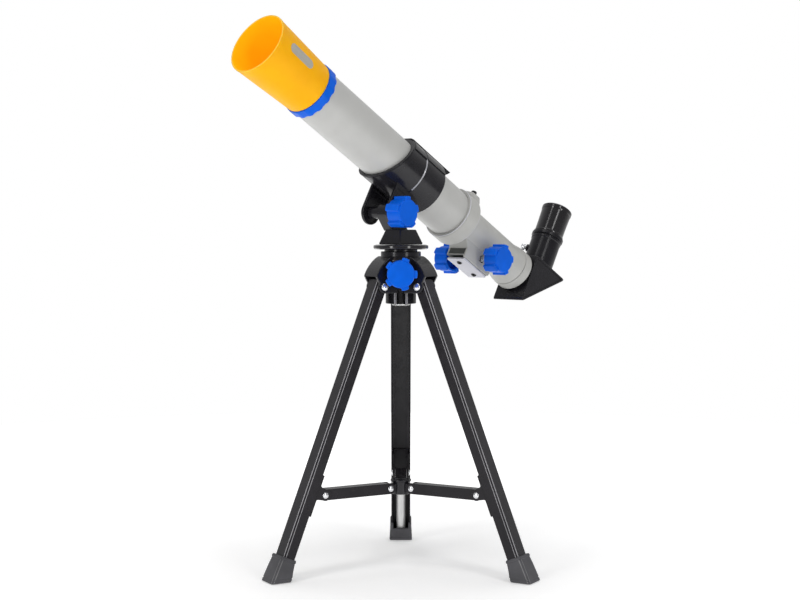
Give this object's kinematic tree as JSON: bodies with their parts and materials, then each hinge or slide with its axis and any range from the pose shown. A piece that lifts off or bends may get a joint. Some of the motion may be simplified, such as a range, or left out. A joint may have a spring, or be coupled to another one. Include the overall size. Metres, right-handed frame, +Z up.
{
  "type": "refracting telescope on table tripod",
  "caption": "Small refracting telescope with a star diagonal and eyepiece, on a tilting post mount and a folding table tripod with a spreader.",
  "frame": {"origin": "On the ground, under the middle of the box round the whole object, which is a little behind the azimuth axis", "axes": "+Z is up, along the azimuth axis; the rear leg points along +Y; the telescope points to the left and forward, towards -X and -Y, and up at 30 degrees"},
  "size_m": [0.3252, 0.345, 0.4997],
  "materials": {
    "orange_plastic": "Moulded orange plastic, satin gloss",
    "blue_plastic": "Moulded blue plastic, satin gloss",
    "tube_paint": "Light grey semi-gloss paint on the tube",
    "grey_plastic": "Warm grey moulded plastic, fine grain",
    "pale_plastic": "Pale grey moulded plastic",
    "black_plastic": "Black moulded plastic, satin with a fine grain",
    "gloss_black_plastic": "Polished black plastic",
    "black_aluminium": "Black anodised pressed channel",
    "bare_aluminium": "Bare drawn aluminium tube",
    "steel": "Bright plated steel",
    "rubber": "Dark grey moulded rubber",
    "lens_glass": "Clear optical glass",
    "mirror": "Front silvered mirror"
  },
  "bodies": {
    "tripod": {"tripod_hub": "black_plastic", "leg_left_pin": "steel", "leg_right_pin": "steel", "leg_rear_pin": "steel"},
    "azimuth_lock": {"azimuth_lock_knob": "blue_plastic", "azimuth_lock_screw": "steel"},
    "leg_left": {"leg_left_channel": "black_aluminium", "leg_left_tube": "bare_aluminium", "leg_left_foot": "rubber", "leg_left_bracket": "black_aluminium"},
    "leg_right": {"leg_right_channel": "black_aluminium", "leg_right_tube": "bare_aluminium", "leg_right_foot": "rubber", "leg_right_bracket": "black_aluminium"},
    "leg_rear": {"leg_rear_channel": "black_aluminium", "leg_rear_tube": "bare_aluminium", "leg_rear_foot": "rubber", "leg_rear_bracket": "black_aluminium"},
    "spreader": {"spreader_hub": "black_plastic", "spreader_pin_left": "steel", "spreader_pin_right": "steel", "spreader_pin_rear": "steel"},
    "arm_left": {"spreader_arm_left": "black_aluminium"},
    "arm_right": {"spreader_arm_right": "black_aluminium"},
    "arm_rear": {"spreader_arm_rear": "black_aluminium"},
    "mount": {"turntable": "gloss_black_plastic", "spindle_clip": "steel", "mount_post": "black_plastic", "altitude_spacer": "black_plastic"},
    "telescope": {"altitude_bolt": "steel", "lens_cell": "blue_plastic", "objective_rear_lens": "lens_glass", "objective_front_lens": "lens_glass", "lens_retaining_ring": "black_plastic", "main_tube": "tube_paint", "tube_baffle": "black_plastic", "cradle": "black_plastic", "rear_cell": "grey_plastic", "finder_base": "grey_plastic", "focuser_housing": "grey_plastic", "pinion_cover": "pale_plastic", "pinion_cover_screw_1": "black_plastic", "pinion_cover_screw_2": "black_plastic"},
    "altitude_knob": {"altitude_knob": "blue_plastic"},
    "dew_shield": {"dew_shield": "orange_plastic"},
    "finder_screw": {"finder_screw": "black_plastic"},
    "focus_drive": {"pinion_shaft": "steel", "focus_knob_right": "blue_plastic", "focus_knob_left": "blue_plastic"},
    "draw_tube": {"draw_tube": "grey_plastic", "focus_rack": "black_plastic"},
    "diagonal": {"diagonal_housing": "black_plastic", "diagonal_mirror": "mirror"},
    "eyepiece_thumbscrew": {"eyepiece_thumbscrew": "steel"},
    "eyepiece": {"eyepiece_body": "gloss_black_plastic", "eyepiece_eye_lens": "lens_glass", "eyepiece_field_lens": "lens_glass"}
  },
  "joints": [
    {"name": "azimuth_turn", "type": "hinge", "parent": "tripod", "child": "mount", "pos_m": [-0.01628, -0.03751, 0.301], "axis": [0, 0, 1], "continuous": true},
    {"name": "azimuth_lock_turn", "type": "hinge", "parent": "tripod", "child": "azimuth_lock", "pos_m": [-0.01628, -0.06352, 0.2748], "axis": [0, -1, 0], "range_deg": [0, 300]},
    {"name": "altitude_tilt", "type": "hinge", "parent": "mount", "child": "telescope", "pos_m": [-0.02379, -0.04556, 0.3307], "axis": [-0.7314, 0.682, 0], "range_deg": [-40, 25]},
    {"name": "altitude_knob_turn", "type": "hinge", "parent": "telescope", "child": "altitude_knob", "pos_m": [-0.02379, -0.04556, 0.3307], "axis": [0.7314, -0.682, 0], "range_deg": [0, 300]},
    {"name": "leg_left_fold", "type": "hinge", "parent": "tripod", "child": "leg_left", "pos_m": [-0.03707, -0.04952, 0.2626], "axis": [0.5, -0.866, 0], "range_deg": [0, 16]},
    {"name": "leg_right_fold", "type": "hinge", "parent": "tripod", "child": "leg_right", "pos_m": [0.0045, -0.04952, 0.2626], "axis": [0.5, 0.866, 0], "range_deg": [0, 16]},
    {"name": "leg_rear_fold", "type": "hinge", "parent": "tripod", "child": "leg_rear", "pos_m": [-0.01628, -0.01351, 0.2626], "axis": [-1, 0, 0], "range_deg": [0, 16]},
    {"name": "spreader_slide", "type": "slide", "parent": "tripod", "child": "spreader", "axis": [0, 0, 1], "range_m": [0, 0.05887]},
    {"name": "arm_left_fold", "type": "hinge", "parent": "spreader", "child": "arm_left", "pos_m": [-0.02819, -0.04439, 0.0746], "axis": [0.5, -0.866, 0], "range_deg": [0, 77.57]},
    {"name": "arm_right_fold", "type": "hinge", "parent": "spreader", "child": "arm_right", "pos_m": [-0.00438, -0.04439, 0.0746], "axis": [0.5, 0.866, 0], "range_deg": [0, 77.57]},
    {"name": "arm_rear_fold", "type": "hinge", "parent": "spreader", "child": "arm_rear", "pos_m": [-0.01628, -0.02377, 0.0746], "axis": [-1, 0, 0], "range_deg": [0, 77.57]},
    {"name": "dew_shield_pull", "type": "slide", "parent": "telescope", "child": "dew_shield", "axis": [-0.5906, -0.6334, 0.5], "range_m": [0, 0.0125]},
    {"name": "finder_screw_turn", "type": "hinge", "parent": "telescope", "child": "finder_screw", "pos_m": [0.05463, 0.05788, 0.34737], "axis": [0.341, 0.3657, 0.866], "range_deg": [0, 300]},
    {"name": "focus_turn", "type": "hinge", "parent": "telescope", "child": "focus_drive", "pos_m": [0.05499, 0.05827, 0.28528], "axis": [0.7314, -0.682, 0], "range_deg": [0, 716.5]},
    {"name": "focus_slide", "type": "slide", "parent": "telescope", "child": "draw_tube", "axis": [0.5906, 0.6334, -0.5], "range_m": [0, 0.05]},
    {"name": "diagonal_turn", "type": "hinge", "parent": "draw_tube", "child": "diagonal", "pos_m": [0.10071, 0.1073, 0.2714], "axis": [-0.5906, -0.6334, 0.5], "range_deg": [-90, 90]},
    {"name": "eyepiece_thumbscrew_turn", "type": "hinge", "parent": "diagonal", "child": "eyepiece_thumbscrew", "pos_m": [0.11512, 0.14434, 0.29513], "axis": [-0.9287, 0.2739, 0.25], "range_deg": [0, 300]},
    {"name": "eyepiece_pull", "type": "slide", "parent": "diagonal", "child": "eyepiece", "axis": [0.341, 0.3657, 0.866], "range_m": [0, 0.026]}
  ],
  "couplings": [
    {"joint": "leg_right_fold", "follows": "leg_left_fold", "ratio": 1},
    {"joint": "leg_rear_fold", "follows": "leg_left_fold", "ratio": 1},
    {"joint": "spreader_slide", "follows": "leg_left_fold", "m_per_rad": 0.21011},
    {"joint": "arm_left_fold", "follows": "leg_left_fold", "ratio": 4.8296},
    {"joint": "arm_right_fold", "follows": "leg_left_fold", "ratio": 4.8296},
    {"joint": "arm_rear_fold", "follows": "leg_left_fold", "ratio": 4.8296},
    {"joint": "focus_turn", "follows": "focus_slide", "rad_per_m": 250}
  ]
}
